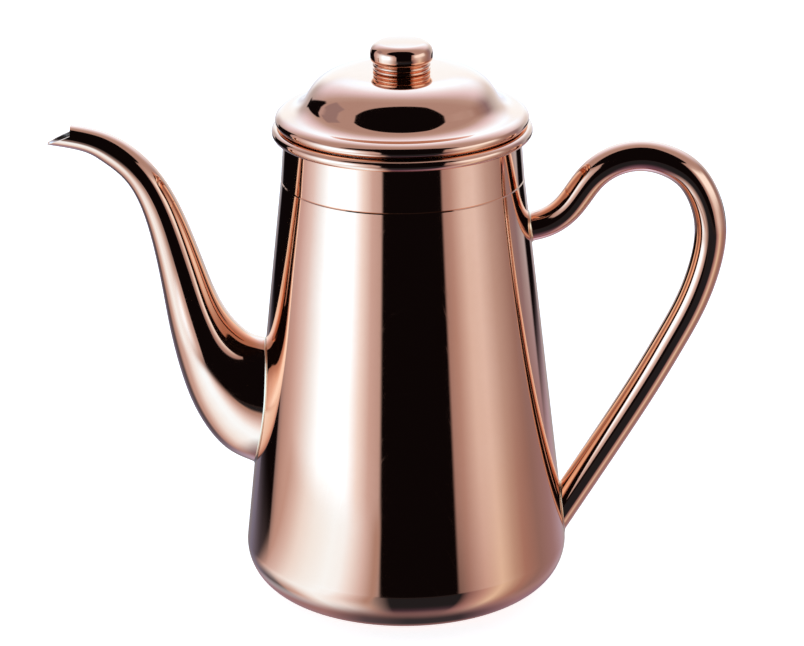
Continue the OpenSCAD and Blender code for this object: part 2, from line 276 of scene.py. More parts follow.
def metal(name, base, deep, light, rough=(0.03, 0.07), wave=0.02, wave_scale=30.0, lines="turned", line_depth=0.0002,
          scratch=0.05, lumps=0.0, seed=1.0, edge=0.35):
    """Polished or satin metal. deep and light are the colours of its darker and brighter clouds."""
    t = Tree(name)
    co = t.node("ShaderNodeTexCoord").outputs["Object"]
    geo = t.node("ShaderNodeNewGeometry")
    # slow change of tone, as rouge and lacquer leave it
    big = t.noise(t.mapped(co, loc=(seed, 0.2, 0.1)), 14.0, 3.0)
    fine = t.noise(t.mapped(co, loc=(0.3, seed, 0.7)), 260.0, 4.0, 0.6)
    tone = t.ramp(big, [(0.30, deep), (0.5, base), (0.72, light)])
    tone = t.mix(t.span(fine, 0.35, 0.75, 0.0, 0.25), tone, deep)
    # hairlines left by wiping
    s1, s2, s3 = (t.scratches(co, seed + k, 24 + 9 * k, 2300 + 500 * k, 0.67) for k in (0.0, 1.7, 3.1))
    marks = t.math("MAXIMUM", s1, t.math("MAXIMUM", s2, s3))
    tone = t.mix(t.math("MULTIPLY", marks, 0.18), tone, light)
    # edges rub a little brighter and duller
    rub = t.math("MULTIPLY", t.span(geo.outputs["Pointiness"], 0.53, 0.62), t.span(fine, 0.3, 0.7, 0.4, 1.0))
    tone = t.mix(t.math("MULTIPLY", rub, edge), tone, light)
    # fine lines of the polishing wheel
    if lines == "turned":
        lv = t.mapped(co, (6, 6, 5200))
    elif lines == "rings":
        sep = t.node("ShaderNodeSeparateXYZ")
        t.put(sep.inputs[0], co)
        rad = t.math("SQRT", t.math("ADD", t.math("POWER", sep.outputs[0], 2.0), t.math("POWER", sep.outputs[1], 2.0)))
        comb = t.node("ShaderNodeCombineXYZ")
        t.put(comb.inputs[0], t.math("MULTIPLY", rad, 5200.0))
        t.put(comb.inputs[1], t.math("MULTIPLY", sep.outputs[2], 900.0))
        t.put(comb.inputs[2], t.math("MULTIPLY", sep.outputs[0], 8.0))
        lv = comb.outputs[0]
    else:
        lv = t.mapped(co, (900, 900, 900))
    grain = t.noise(lv, 1.0, 2.0)
    r = t.span(t.math("ADD", t.math("MULTIPLY", fine, 0.6), t.math("MULTIPLY", big, 0.4)), 0.3, 0.7, rough[0], rough[1], "LINEAR")
    r = t.math("ADD", r, t.math("MULTIPLY", marks, scratch))
    r = t.math("ADD", r, t.math("MULTIPLY", rub, 0.04), clamp=True)
    # the sheet is never quite true
    n = t.bump(t.noise(t.mapped(co, loc=(seed, seed, 0)), wave_scale, 1.5, 0.4), wave * MM)
    if lumps:
        n = t.bump(t.noise(co, 620.0, 3.0, 0.6), lumps * MM, n)
    n = t.bump(grain, line_depth * MM, n)
    n = t.bump(t.math("SUBTRACT", 1.0, marks), 0.0002 * MM, n)
    p = t.node("ShaderNodeBsdfPrincipled")
    p.inputs["Metallic"].default_value = 1.0
    p.inputs["IOR"].default_value = 1.5
    t.put(p.inputs["Base Color"], tone)
    t.put(p.inputs["Roughness"], r)
    t.put(p.inputs["Normal"], n)
    out = t.node("ShaderNodeOutputMaterial")
    t.put(out.inputs[0], p.outputs[0])
    return t.mat


ROSE, ROSE_DEEP, ROSE_LIGHT = (0.93, 0.56, 0.38), (0.91, 0.53, 0.35), (0.95, 0.59, 0.41)
copper_body = metal("copper_body", ROSE, ROSE_DEEP, ROSE_LIGHT, wave=0.012, wave_scale=26, seed=1.0)
copper_lid = metal("copper_lid", ROSE, ROSE_DEEP, ROSE_LIGHT, wave=0.006, wave_scale=40, lines="rings", seed=2.3)
copper_knob = metal("copper_knob", ROSE, ROSE_DEEP, ROSE_LIGHT, wave=0.003, wave_scale=80, lines="rings", seed=3.9)
copper_spout = metal("copper_spout", ROSE, ROSE_DEEP, ROSE_LIGHT, wave=0.010, wave_scale=55, lines="mixed", seed=5.2)
copper_handle = metal("copper_handle", ROSE, ROSE_DEEP, ROSE_LIGHT, wave=0.006, wave_scale=60, lines="mixed", seed=6.8)
tin = metal("tinned_inside", (0.78, 0.70, 0.63), (0.66, 0.58, 0.51), (0.84, 0.77, 0.70), rough=(0.22, 0.34), wave=0.015, wave_scale=90,
            lumps=0.012, line_depth=0.0006, scratch=0.08, seed=8.1)
solder = metal("silver_solder", (0.92, 0.68, 0.46), (0.80, 0.52, 0.32), (0.95, 0.75, 0.54), rough=(0.12, 0.24), wave=0.02, wave_scale=220,
               lines="mixed", lumps=0.03, line_depth=0.0006, seed=9.4)
steel = metal("plain_steel", (0.60, 0.60, 0.61), (0.50, 0.50, 0.52), (0.70, 0.70, 0.71), rough=(0.20, 0.32), wave=0.003, wave_scale=200,
              lines="rings", line_depth=0.0012, seed=4.4)


# ------------------------------------------------------------------ pot
def base_pan():
    m = Mesh()
    pts, nor = line((0, 0), (CORNER_X, 0), 10)
    turn(m, [(pts, nor * 0 + [0, -1], 0)])
    turn(m, [(*arc(CORNER_X, CORNER, CORNER, -90, math.degrees(WA), 40), 0)])
    # closing faces at the seam, inside corner and inside floor
    a = np.array([math.cos(WA), math.sin(WA)])
    c = np.array([CORNER_X, CORNER])
    pts, _ = line(c + CORNER * a, c + (CORNER - WALL) * a, 1)
    turn(m, [(pts, np.repeat([[-a[1], a[0]]], 2, 0), 1)])
    turn(m, [(*arc(CORNER_X, CORNER, CORNER - WALL, math.degrees(WA), -90, 24, True), 1)])
    pts, _ = line((CORNER_X, WALL), (0, WALL), 10)
    turn(m, [(pts, np.repeat([[0.0, 1.0]], 11, 0), 1)])
    return m.build("base_pan_fine", [copper_body, tin])


def cone_skin(m, zs, out, mat, sign, hole):
    """A turned wall through the heights zs, with the hole of the spout cut out of it."""
    n = 192
    th = np.linspace(0, TAU, n, endpoint=False)
    # the window of the hole is 10 steps each side of -X
    j0, j1 = n // 2 - 10, n // 2 + 10
    i0, i1 = int(np.argmin(abs(zs - 44))), int(np.argmin(abs(zs - 96)))
    R = cone_r(zs) + out
    P = np.stack([R[:, None] * np.cos(th), R[:, None] * np.sin(th), np.repeat(zs[:, None], n, 1)], 2)
    cw, sw = math.cos(WA), math.sin(WA)
    N = sign * np.stack([np.repeat((cw * np.cos(th))[None], len(zs), 0), np.repeat((cw * np.sin(th))[None], len(zs), 0), np.full((len(zs), n), sw)], 2)
    m.patch(P, N, mat, close_v=True, skip=(lambda i, j: (i0 <= i) & (i < i1) & (j0 <= j) & (j < j1)) if hole else None)
    if not hole:
        return
    rim = [(i0, j) for j in range(j0, j1)] + [(i, j1) for i in range(i0, i1)] + [(i1, j) for j in range(j1, j0, -1)] + [(i, j0) for i in range(i1, i0, -1)]
    a_r = np.array([th[j] for i, j in rim])
    z_r = np.array([zs[i] for i, j in rim])
    y_r = (cone_r(z_r) + out) * np.sin(a_r)
    f = np.arctan2(y_r / 12.2, (z_r - 70.05) / 21.6)
    z_e = 70.05 + 21.6 * np.cos(f)
    y_e = 12.2 * np.sin(f)
    a_e = math.pi - np.arcsin(y_e / (cone_r(z_e) + out))
    rows_p, rows_n = [], []
    for t in np.linspace(0, 1, 6):
        a, z = a_r + (a_e - a_r) * t, z_r + (z_e - z_r) * t
        r = cone_r(z) + out
        rows_p.append(np.stack([r * np.cos(a), r * np.sin(a), z], 1))
        rows_n.append(sign * np.stack([cw * np.cos(a), cw * np.sin(a), np.full_like(a, sw)], 1))
    rows_p[0] = np.array([P[i, j] for i, j in rim])
    m.patch(np.array(rows_p), np.array(rows_n), mat, close_v=True)
    return f


def body_cone():
    m = Mesh()
    seam_o, seam_i = CORNER + CORNER * math.sin(WA), CORNER + (CORNER - WALL) * math.sin(WA)
    z_top = CREASE_Z - 0.35
    zs = np.concatenate([np.linspace(seam_o, 44, 12, endpoint=False), np.linspace(44, 96, 21), np.linspace(96, z_top, 22)[1:]])
    f = cone_skin(m, zs, 0.0, 0, 1, True)
    zi = np.concatenate([np.linspace(seam_i, 44, 8, endpoint=False), np.linspace(44, 96, 21), np.linspace(96, CREASE_Z - 2, 14)[1:]])
    # the inside of the sheet is a wall's thickness in along the normal at the seam
    inner_out = -WALL
    r_seam = CORNER_X + (CORNER - WALL) * math.cos(WA)
    off = r_seam - cone_r(seam_i)
    g = cone_skin(m, zi, off, 1, -1, True)
    # the cut edge of the hole, seen through the mouth
    zo = 70.05 + 21.6 * np.cos(f)
    yo = 12.2 * np.sin(f)
    zg = 70.05 + 21.6 * np.cos(g)
    yg = 12.2 * np.sin(g)
    a = np.stack([-np.sqrt(cone_r(zo) ** 2 - yo**2), yo, zo], 1)
    b = np.stack([-np.sqrt((cone_r(zg) + off) ** 2 - yg**2), yg, zg], 1)
    nrm = np.stack([np.zeros_like(f), -np.sin(f), -np.cos(f)], 1)
    m.patch(np.array([a, b]), np.array([nrm, nrm]), 1, close_v=True)
    # groove half, top edge and the straight bit inside
    a2 = np.array([(cone_r(z_top), z_top), (CREASE_R - 0.25, CREASE_Z)])
    turn(m, [(a2, np.repeat([[0.81, 0.58]], 2, 0), 0)])
    a3 = np.array([(CREASE_R - 0.25, CREASE_Z), (CREASE_R - WALL, CREASE_Z)])
    turn(m, [(a3, np.repeat([[0.0, 1.0]], 2, 0), 1)])
    a4 = np.array([(CREASE_R - WALL, CREASE_Z), (cone_r(CREASE_Z - 2) + off, CREASE_Z - 2)])
    turn(m, [(a4, np.repeat([[-1.0, 0.0]], 2, 0), 1)])
    a = np.array([math.cos(WA), math.sin(WA)])
    c = np.array([CORNER_X, CORNER])
    turn(m, [(np.array([c + CORNER * a, c + (CORNER - WALL) * a]), np.repeat([[a[1], -a[0]]], 2, 0), 1)])
    return m.build("body_cone_fine", [copper_body, tin])


def neck_ring():
    m = Mesh()
    x1, x0 = RIM_R - CURL, neck_r(RIM_Z) - WALL + CURL
    wn = np.array([1.0, 0.073]) / math.hypot(1, 0.073)
    turn(m, [(np.array([(CREASE_R - 0.25, CREASE_Z), (neck_r(CREASE_Z + 0.35), CREASE_Z + 0.35)]), np.repeat([[0.81, -0.58]], 2, 0), 0)])
    zj = 171.75
    for _ in range(20):
        zj = RIM_Z - math.sqrt(CURL**2 - (neck_r(zj) - x0) ** 2)
    zs = np.linspace(CREASE_Z + 0.35, zj, 8)
    turn(m, [(np.stack([neck_r(zs), zs], 1), np.repeat(wn[None], 8, 0), 0)])
    a = math.degrees(math.atan2(zj - RIM_Z, neck_r(zj) - x0))
    turn(m, [
        (*arc(x0, RIM_Z, CURL, a, -90, 8), 0),
        (np.array([(x0, RIM_Z - CURL), (x1, RIM_Z - CURL)]), np.repeat([[0.0, -1.0]], 2, 0), 0),
        (*arc(x1, RIM_Z, CURL, -90, 90, 28), 0),
        (np.array([(x1, RIM_Z + CURL), (x0, RIM_Z + CURL)]), np.repeat([[0.0, 1.0]], 2, 0), 0),
        (*arc(x0, RIM_Z, CURL, 90, 180, 12), 0),
        (np.array([(x0 - CURL, RIM_Z), (CREASE_R - WALL, CREASE_Z)]), np.repeat([[-0.998, -0.07]], 2, 0), 1),
        (np.array([(CREASE_R - WALL, CREASE_Z), (CREASE_R - 0.25, CREASE_Z)]), np.repeat([[0.0, -1.0]], 2, 0), 1),
    ])
    return m.build("neck_ring_fine", [copper_body, tin])


# ------------------------------------------------------------------ spout
TOP = soften([[-50, 94], [-55.5, 95.5], [-60.5, 99.5], [-65, 105.5], [-69, 114], [-73, 125.5], [-77.5, 138.5],
              [-83, 151], [-90.5, 162], [-100.5, 170.5], [-112, 175], [-126, 177]])
LOW = soften([[-55.5, 46], [-67, 52.5], [-76.5, 66.5], [-82, 82.5], [-85.5, 99], [-88, 116], [-91, 133],
              [-95, 147], [-100.5, 156.5], [-107.5, 162.5], [-114.5, 166.5], [-127, 169]])
WID = soften([ROOT_W, 14, 13.5, 12.5, 10.5, 8.5, 7.5, 6.5, 5.5, 5, 4.5, 3.5])
CUT_X, CUT_Z, CUT_SLOPE, SP_U = -118.5, 173.0, 0.43, 10


def sp_at(u, f, w):
    """Points of the spout skin inset by w, at the running numbers u and the angles f from the top."""
    t, lo, b = at(TOP, u), at(LOW, u), at(WID, u)[..., 0] - w
    mid, h = (t + lo) / 2, (t - lo) / 2
    nh = np.linalg.norm(h, axis=-1, keepdims=True)
    p = mid + h * (nh - w) / nh * np.cos(f)[..., None]
    return np.stack([p[..., 0], b * np.sin(f), p[..., 1]], -1)


def sp_root(f, w):
    mid, h = (np.array([-50, 94.0]) + [-55.5, 46]) / 2, (np.array([-50, 94.0]) - [-55.5, 46]) / 2
    return on_wall((ROOT_W - w) * np.sin(f), mid[1] + (h[1] - w) * np.cos(f))


def sp_grid(w, nf=112, nu=230, nb=36):
    f = np.linspace(0, TAU, nf, endpoint=False)
    u = np.concatenate([np.linspace(0, 1.0 / 3, 10, endpoint=False), np.linspace(1.0 / 3, SP_U, nu)])
    U, F = np.meshgrid(u, f, indexing="ij")
    P = sp_at(U, F, w)
    fade = np.clip(1 - 3 * U, 0, 1)[..., None] ** 2
    P = P + fade * (sp_root(f, w) - sp_at(np.zeros(nf), f, w))[None]
    lo, hi = np.zeros(nf), np.ones(nf)
    for _ in range(40):
        t = (lo + hi) / 2
        q = sp_at(SP_U + t, f, w)
        keep = (q[:, 0] >= CUT_X) | (q[:, 2] <= CUT_Z + CUT_SLOPE * (q[:, 0] - CUT_X))
        lo, hi = np.where(keep, t, lo), np.where(keep, hi, t)
    k = np.linspace(0, 1, nb + 1)[1:, None]
    B = sp_at(SP_U + k * lo[None], np.repeat(f[None], nb, 0), w)
    G = np.concatenate([P, B])
    n = fd_normals(G)
    mid = G.mean(1, keepdims=True)
    flip = np.sign((n * (G - mid)).sum(-1).mean())
    return G, n * flip


def spout_halves():
    out, no = sp_grid(0.0)
    inn, ni = sp_grid(SPOUT_WALL)
    nf = out.shape[1]
    h = nf // 2
    objs = []
    for name, cols in (("spout_right_half_fine", list(range(0, h + 1))), ("spout_left_half_fine", list(range(h, nf)) + [0])):
        m = Mesh()
        m.patch(out[:, cols], no[:, cols], 0)
        m.patch(inn[:, cols], -ni[:, cols], 1)
        # cut edge at the tip, with the normal along the spout
        e = np.array([out[-1, cols], inn[-1, cols]])
        d = np.gradient(np.array(out[-1, cols]), axis=0)
        en = np.cross(d, e[1] - e[0])
        s = np.sign((en * (out[-1, cols] - out[-4, cols])).sum())
        m.patch(e, np.array([en * s, en * s]), 0)
        # root edge on the wall, and the brazed seams
        r = np.array([out[0, cols], inn[0, cols]])
        m.patch(r, np.repeat([[[1.0, 0, 0]]], 2, 0).repeat(len(cols), 1), 1)
        side = 1.0 if cols[1] < h else -1.0
        for c in (cols[0], cols[-1]):
            m.patch(np.stack([out[:, c], inn[:, c]], 1), np.broadcast_to([0.0, -side, 0.0], (len(out), 2, 3)), 1)
        objs.append(m.build(name, [copper_spout, tin]))
    return objs, out


def fillet(name, wall, skin, corner, mat, sag=0.55):
    """A concave bead between two rings of points, pulled towards the corner ring."""
    rows = []
    for t in np.linspace(0, 1, 9):
        ctrl = corner * sag + (wall + skin) / 2 * (1 - sag)
        rows.append(wall * (1 - t) ** 2 + ctrl * 2 * t * (1 - t) + skin * t * t)
    G = np.array(rows)
    n = fd_normals(G)
    away = (wall + skin) / 2 - corner
    n *= np.sign((n[4] * away).sum())
    m = Mesh()
    m.patch(G, n, 0, close_v=True)
    # the hidden faces against the wall and the tube close it
    B = np.array([wall, corner, skin])
    m.patch(B, -np.repeat(n[4][None], 3, 0), 0, close_v=True)
    return m.build(name, [mat])


def wobble(n, base, amp, seed):
    rng = np.random.default_rng(seed)
    a = np.linspace(0, TAU, n, endpoint=False)
    return base + sum(amp / k * np.sin(k * a + rng.uniform(0, TAU)) for k in (2, 3, 5, 7, 11))


def spout_bead(grid):
    nf = grid.shape[1]
    f = np.linspace(0, TAU, nf, endpoint=False)
    g = wobble(nf, 0.62, 0.08, 3)
    mid_z, h_z = 70.0, 24.0
    wall = on_wall((ROOT_W + g) * np.sin(f), mid_z + (h_z + g) * np.cos(f), 0.02)
    corner = grid[0]
    d = np.linalg.norm(grid[:30] - grid[0][None], axis=2)
    skin = np.empty_like(wall)
    for j in range(nf):
        skin[j] = [np.interp(g[j] * 0.9, d[:, j], grid[:30, j, k]) for k in range(3)]
    out_dir = skin - skin.mean(0)
    skin += 0.02 * out_dir / np.linalg.norm(out_dir, axis=1, keepdims=True)
    return fillet("spout_solder_fine", wall, skin, corner, solder)


# ------------------------------------------------------------------ handle
H_PATH = soften([[45, 136], [52, 138], [58.5, 142.5], [63.5, 149], [69, 156], [77, 161], [86.5, 162.5], [96, 160],
                 [104.5, 153.5], [110, 141.5], [110.5, 127], [105.5, 109], [97.5, 92.5], [87, 73.5], [72.5, 49.5], [58, 26]])
H_N = 60


def h_mid(k):
    return at(H_PATH, np.asarray(k, float) * (len(H_PATH) - 1) / H_N)


def h_dir(k):
    k = np.asarray(k, float)
    d = h_mid(np.minimum(H_N, k + 0.3)) - h_mid(np.maximum(0, k - 0.3))
    return d / np.linalg.norm(d, axis=-1, keepdims=True)


def h_rad(k):
    return HANDLE_TOP + (HANDLE_LOW - HANDLE_TOP) * np.minimum(1, np.asarray(k, float) / (0.6 * H_N))


def h_ring(k, f, r):
    m, d = h_mid(np.array([k]))[0], h_dir(np.array([k]))[0]
    return np.stack([m[0] + r * np.cos(f) * d[1], r * np.sin(f), m[1] - r * np.cos(f) * d[0]], -1)


def to_wall(p, d, out):
    r = cone_r(p[:, 2]) + out
    a = d[0] ** 2 - TAPER**2 * d[2] ** 2
    b = 2 * p[:, 0] * d[0] + 2 * r * TAPER * d[2]
    c = p[:, 0] ** 2 + p[:, 1] ** 2 - r * r
    s = np.sqrt(b * b - 4 * a * c)
    t1, t2 = (-b - s) / (2 * a), (-b + s) / (2 * a)
    return np.where(abs(t1) < abs(t2), t1, t2)


def h_end(k, f, r, out):
    p = h_ring(k, f, r)
    d2 = h_dir(np.array([k]))[0]
    d = np.array([d2[0], 0, d2[1]])
    return p + d * to_wall(p, d, out)[:, None]


def handle():
    nf = 64
    f = np.linspace(0, TAU, nf, endpoint=False)
    ks = np.linspace(1.2, H_N - 1.4, 330)

    def grid(w):
        rows = [h_end(1.2, f, h_rad(0) - w, 0.05)]
        rows += [h_ring(k, f, h_rad(k) - w) for k in ks]
        rows.append(h_end(H_N - 1.4, f, h_rad(H_N) - w, 0.05))
        return np.array(rows)

    G = grid(0.0)
    I = grid(HANDLE_WALL)
    c = G.mean(1, keepdims=True)
    rad = G - c
    n = fd_normals(G)
    n[0], n[-1] = n[1], n[-2]
    n *= np.sign((n * rad).sum(-1).mean())
    m = Mesh()
    m.patch(G, n, 0, close_v=True)
    m.patch(I[[0, 1]], -n[[0, 1]], 1, close_v=True)
    m.patch(I[[-2, -1]], -n[[-2, -1]], 1, close_v=True)
    for e, s in ((0, -1.0), (-1, -1.0)):
        m.patch(np.array([G[e], I[e]]), np.broadcast_to([s, 0.0, 0.0], (2, nf, 3)), 1, close_v=True)
    return m.build("handle_tube_fine", [copper_handle, tin])


def handle_bead(name, k, r, seed):
    nf = 96
    f = np.linspace(0, TAU, nf, endpoint=False)
    g = wobble(nf, 0.75, 0.10, seed)
    wall = np.array([h_end(k, f[j : j + 1], r + g[j], 0.03)[0] for j in range(nf)])
    corner = h_end(k, f, r, 0.05)
    d2 = h_dir(np.array([k]))[0]
    d = np.array([d2[0], 0, d2[1]]) * (1.0 if k < 10 else -1.0)
    skin = h_end(k, f, r + 0.02, 0.05) + d * (g * 0.95)[:, None]
    return fillet(name, wall, skin, corner, solder)


# ------------------------------------------------------------------ lid
LID_ARCS = [[500, 0, 2, 1], [33.5, 2, 13.2, 1], [15, 13.2, 60, 1], [2.15, 60, 60, 0], [8.7, 60, 8, -1],
            [1.05, 8, 8, 0], [5, 8, 45, 1], [2.1, 45, 100, 1], [2.1, 100, 300, 1]]
LID_STEPS = [10, 12, 22, 2, 22, 2, 12, 12, 30]
HOLE_R = 2.1


def arc_move(a, w, s0, s1):
    if a[3] == 0:
        return a[0] * np.array([math.cos(math.radians(a[1])), -math.sin(math.radians(a[1]))])
    r = a[3] * (a[0] - a[3] * w)
    s0, s1 = math.radians(s0), math.radians(s1)
    return r * np.array([math.sin(s1) - math.sin(s0), math.cos(s1) - math.cos(s0)])


def lid_skin(w, inner):
    segs, p = [], np.array([0.0, LID_TOP - w])
    for a, n in zip(LID_ARCS, LID_STEPS):
        if a[3] == 0:
            s = np.full(n + 1, float(a[1]))
            pts = p + np.linspace(0, 1, n + 1)[:, None] * arc_move(a, w, 0, 0)
        else:
            s = np.linspace(a[1], a[2], n + 1)
            if a[0] == 500:
                s[0] = math.degrees(math.asin(HOLE_R / (a[0] - w)))
            pts = np.array([p + arc_move(a, w, a[1], x) for x in s])
        nor = np.stack([np.sin(np.radians(s)), np.cos(np.radians(s))], 1)
        segs.append((pts, -nor if inner else nor))
        p = p + arc_move(a, w, a[1], a[2])
    return segs


def lid_shell():
    m = Mesh()
    so, si = lid_skin(0.0, False), lid_skin(LID_WALL, True)
    turn(m, so, 224, 0)
    turn(m, si, 224, 1)
    s = math.radians(300)
    d = np.array([math.cos(s), -math.sin(s)])
    turn(m, [(np.array([so[-1][0][-1], si[-1][0][-1]]), np.repeat(d[None], 2, 0), 1),
             (np.array([so[0][0][0], si[0][0][0]]), np.repeat([[-1.0, 0.0]], 2, 0), 0)], 224)
    return m.build("lid_shell_fine", [copper_lid, tin])


def lid_collar():
    m = Mesh()
    p = np.array([0.0, LID_TOP - LID_WALL])
    for a in LID_ARCS[:5]:
        p = p + arc_move(a, LID_WALL, a[1], a[2])
    top = p[1] + (p[0] - COLLAR_R) * math.tan(math.radians(8)) - 0.02
    lo, r, i = COLLAR_LOW, COLLAR_R, COLLAR_R - 0.8
    turn(m, [
        (np.array([(i, top), (i, lo + 0.35)]), np.repeat([[-1.0, 0.0]], 2, 0)),
        (*arc(i + 0.35, lo + 0.35, 0.35, 180, 270, 5),),
        (np.array([(i + 0.35, lo), (r - 0.4, lo)]), np.repeat([[0.0, -1.0]], 2, 0)),
        (*arc(r - 0.4, lo + 0.4, 0.4, -90, 0, 5),),
        (np.array([(r, lo + 0.4), (r, top)]), np.repeat([[1.0, 0.0]], 2, 0)),
        (np.array([(r, top), (i, top)]), np.repeat([[0.0, 1.0]], 2, 0)),
    ], 192, 0)
    return m.build("lid_collar_fine", [tin])


def knob():
    b, kr, s = LID_TOP, 11.25, 3.9
    m = Mesh()

    def run(pts, n):
        c = soften(pts)
        u = np.linspace(0, len(pts) - 1, n)
        q = at(c, u)
        d = np.gradient(q, axis=0)
        nn = np.stack([d[:, 1], -d[:, 0]], 1)
        return q, nn / np.linalg.norm(nn, axis=1, keepdims=True)

    bead1 = run([[9.75, b], [10.15, b + 0.25], [10.3, b + 0.65], [10.15, b + 1.05], [9.75, b + 1.2], [9.5, b + 1.27]], 24)
    bead2 = run([[9.5, b + 1.3], [9.75, b + 1.4], [10.15, b + 1.75], [10.3, b + 2.2], [10.15, b + 2.65], [9.8, b + 2.95], [9.6, b + 3.07]], 26)
    rise = run([[9.6, b + 3.1], [10.0, b + 3.25], [10.45, b + 3.5], [10.85, b + 3.9], [11.1, b + 4.4], [11.22, b + 5.3], [11.25, b + 6.5]], 32)
    rise[1][-1] = (1, 0)
    shoulder = arc(kr - s, b + 6.5, s, 0, 84, 30)
    p0 = shoulder[0][-1]
    top = run([list(p0), [5.9, b + 10.5], [4.0, b + 10.6], [2.0, b + 10.66], [0, b + 10.68]], 30)
    top[1][0] = shoulder[1][-1]
    top[1][-1] = (0, 1)
    turn(m, [(np.array([(HOLE_R, b), (9.75, b)]), np.repeat([[0.0, -1.0]], 2, 0)), bead1,
             (np.array([(9.5, b + 1.27), (9.5, b + 1.3)]), np.repeat([[1.0, 0.0]], 2, 0)), bead2,
             (np.array([(9.6, b + 3.07), (9.6, b + 3.1)]), np.repeat([[1.0, 0.0]], 2, 0)), rise, shoulder, top,
             (np.array([(HOLE_R, b + 7), (HOLE_R, b)]), np.repeat([[-1.0, 0.0]], 2, 0)),
             (np.array([(0, b + 7), (HOLE_R, b + 7)]), np.repeat([[0.0, -1.0]], 2, 0))], 160, 0)
    return m.build("knob_fine", [copper_knob])


# ------------------------------------------------------------------ put it together
def mount(ob, body, slot, *nodes):
    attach(ob, body)
    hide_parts(*nodes)


mount(base_pan(), "pot", "copper", "base_pan")
mount(body_cone(), "pot", "copper", "body_cone")
mount(neck_ring(), "pot", "copper", "neck_ring")
(right, left), outer = spout_halves()
mount(right, "pot", "copper", "spout_right_half")
mount(left, "pot", "copper", "spout_left_half")
mount(spout_bead(outer), "pot", "silver_solder", "spout_solder")
mount(handle(), "pot", "copper", "handle_tube")
mount(handle_bead("handle_upper_solder_fine", 1.2, HANDLE_TOP, 5), "pot", "silver_solder", "handle_upper_solder")
mount(handle_bead("handle_lower_solder_fine", H_N - 1.4, HANDLE_LOW, 8), "pot", "silver_solder", "handle_lower_solder")
mount(lid_shell(), "lid", "copper", "lid_shell")
mount(lid_collar(), "lid", "tinned_copper", "lid_collar")
mount(knob(), "lid", "copper", "knob")

for n in ("knob_screw", "knob_washer"):
    ob = cad[n]
    ob.data.materials.clear()
    ob.data.materials.append(steel)


# ------------------------------------------------------------------ studio
def lit(r, g, b):
    """The light that rose copper turns into this tone."""
    return (r / ROSE[0], g / ROSE[1], b / ROSE[2])


